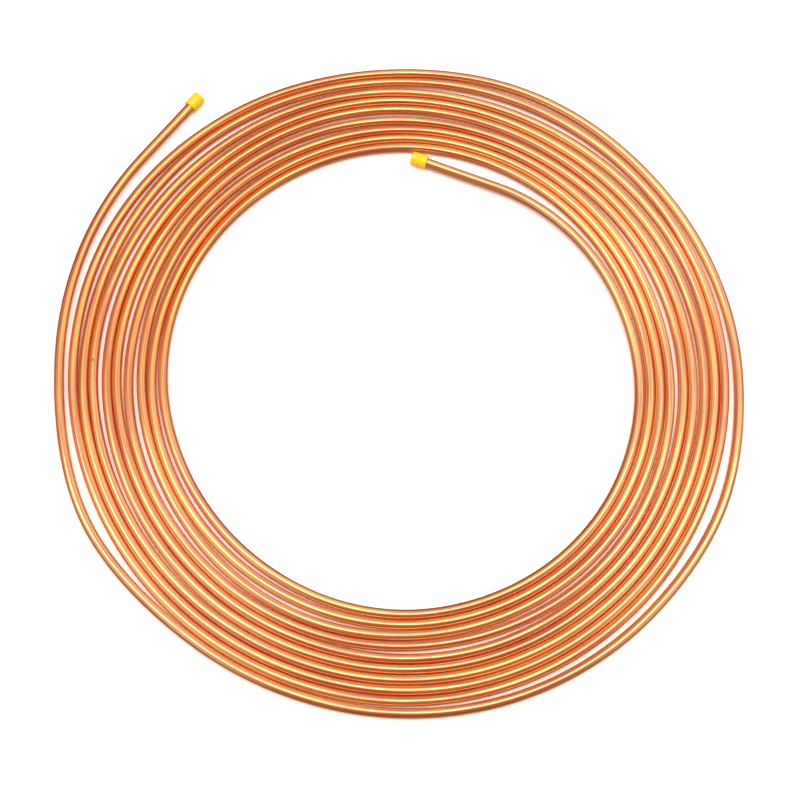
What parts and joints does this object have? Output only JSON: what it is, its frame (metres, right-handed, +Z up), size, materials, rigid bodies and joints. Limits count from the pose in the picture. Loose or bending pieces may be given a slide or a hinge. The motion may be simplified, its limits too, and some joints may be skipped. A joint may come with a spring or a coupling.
{
  "type": "copper tube coil",
  "caption": "Flat spiral coil of soft copper tube for refrigeration and plumbing, with a push-on vinyl cap on each end.",
  "frame": {"origin": "centre of the turns, in the middle of the open eye, on the floor that the coil lies on", "axes": "+Z up, square to the flat coil; seen from above the tube winds inwards counter-clockwise, from an outer end at the far left to an inner end at the far side"},
  "size_m": [0.4444, 0.4384, 0.0089],
  "materials": {
    "copper": "bright drawn copper, satin, annealed soft",
    "vinyl": "glossy dipped vinyl, flexible"
  },
  "bodies": {
    "root": {"copper_tube": "copper", "outer_end_cap": "vinyl", "inner_end_cap": "vinyl"}
  },
  "joints": []
}
